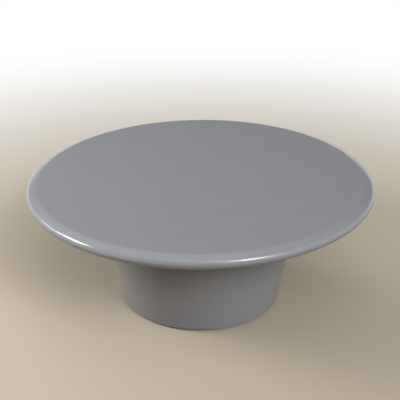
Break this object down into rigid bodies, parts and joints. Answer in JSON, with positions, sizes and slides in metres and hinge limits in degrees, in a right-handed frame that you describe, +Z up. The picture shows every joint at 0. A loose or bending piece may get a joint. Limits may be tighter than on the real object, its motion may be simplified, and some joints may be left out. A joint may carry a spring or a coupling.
{
  "type": "round cocktail table",
  "caption": "Low round table: a lacquered disc top with a soft rolled edge on an upturned cone base of bent plywood, with screw levellers under the foot.",
  "frame": {"origin": "on the floor, under the middle of the top", "axes": "+Z up along the axis of the top and base; +X and +Y level, each over one leveller"},
  "size_m": [1.22, 1.22, 0.46],
  "materials": {
    "grey_lacquer": "polished gloss lacquer, cool grey, over sheet and bent plywood",
    "birch_plywood": "sealed birch plywood, sawn edges",
    "zinc_plated_steel": "bright zinc plate",
    "black_nylon": "moulded matt nylon"
  },
  "bodies": {
    "table": {"top_panel": "grey_lacquer", "rim_segment_1": "grey_lacquer", "rim_segment_2": "grey_lacquer", "rim_segment_3": "grey_lacquer", "rim_segment_4": "grey_lacquer", "rim_segment_5": "grey_lacquer", "rim_segment_6": "grey_lacquer", "rim_segment_7": "grey_lacquer", "rim_segment_8": "grey_lacquer", "mounting_plate": "birch_plywood", "upper_former": "birch_plywood", "mid_former": "birch_plywood", "lower_former": "birch_plywood", "rib_1": "birch_plywood", "rib_2": "birch_plywood", "rib_3": "birch_plywood", "rib_4": "birch_plywood", "rib_5": "birch_plywood", "rib_6": "birch_plywood", "rib_7": "birch_plywood", "rib_8": "birch_plywood", "inner_skin_1": "birch_plywood", "inner_skin_2": "birch_plywood", "inner_skin_3": "birch_plywood", "inner_skin_4": "birch_plywood", "outer_skin_1": "grey_lacquer", "outer_skin_2": "grey_lacquer", "outer_skin_3": "grey_lacquer", "outer_skin_4": "grey_lacquer", "plate_insert_nuts": "zinc_plated_steel", "bolt_washers": "zinc_plated_steel", "top_bolts": "zinc_plated_steel", "leveller_insert_nuts": "zinc_plated_steel"},
    "foot_1": {"leveller_pad_1": "black_nylon"},
    "stem_1": {"leveller_stem_1": "zinc_plated_steel"},
    "foot_2": {"leveller_pad_2": "black_nylon"},
    "stem_2": {"leveller_stem_2": "zinc_plated_steel"},
    "foot_3": {"leveller_pad_3": "black_nylon"},
    "stem_3": {"leveller_stem_3": "zinc_plated_steel"},
    "foot_4": {"leveller_pad_4": "black_nylon"},
    "stem_4": {"leveller_stem_4": "zinc_plated_steel"}
  },
  "joints": [
    {"name": "foot_1_lift", "type": "slide", "parent": "table", "child": "foot_1", "axis": [0, 0, -1], "range_m": [0, 0.012]},
    {"name": "stem_1_turn", "type": "hinge", "parent": "foot_1", "child": "stem_1", "pos_m": [0.2274, 0, 0.02], "axis": [0, 0, -1], "range_deg": [0, 3456]},
    {"name": "foot_2_lift", "type": "slide", "parent": "table", "child": "foot_2", "axis": [0, 0, -1], "range_m": [0, 0.012]},
    {"name": "stem_2_turn", "type": "hinge", "parent": "foot_2", "child": "stem_2", "pos_m": [0, 0.2274, 0.02], "axis": [0, 0, -1], "range_deg": [0, 3456]},
    {"name": "foot_3_lift", "type": "slide", "parent": "table", "child": "foot_3", "axis": [0, 0, -1], "range_m": [0, 0.012]},
    {"name": "stem_3_turn", "type": "hinge", "parent": "foot_3", "child": "stem_3", "pos_m": [-0.2274, 0, 0.02], "axis": [0, 0, -1], "range_deg": [0, 3456]},
    {"name": "foot_4_lift", "type": "slide", "parent": "table", "child": "foot_4", "axis": [0, 0, -1], "range_m": [0, 0.012]},
    {"name": "stem_4_turn", "type": "hinge", "parent": "foot_4", "child": "stem_4", "pos_m": [0, -0.2274, 0.02], "axis": [0, 0, -1], "range_deg": [0, 3456]}
  ],
  "couplings": [
    {"joint": "stem_1_turn", "follows": "foot_1_lift", "rad_per_m": 5026.5},
    {"joint": "stem_2_turn", "follows": "foot_2_lift", "rad_per_m": 5026.5},
    {"joint": "stem_3_turn", "follows": "foot_3_lift", "rad_per_m": 5026.5},
    {"joint": "stem_4_turn", "follows": "foot_4_lift", "rad_per_m": 5026.5}
  ]
}
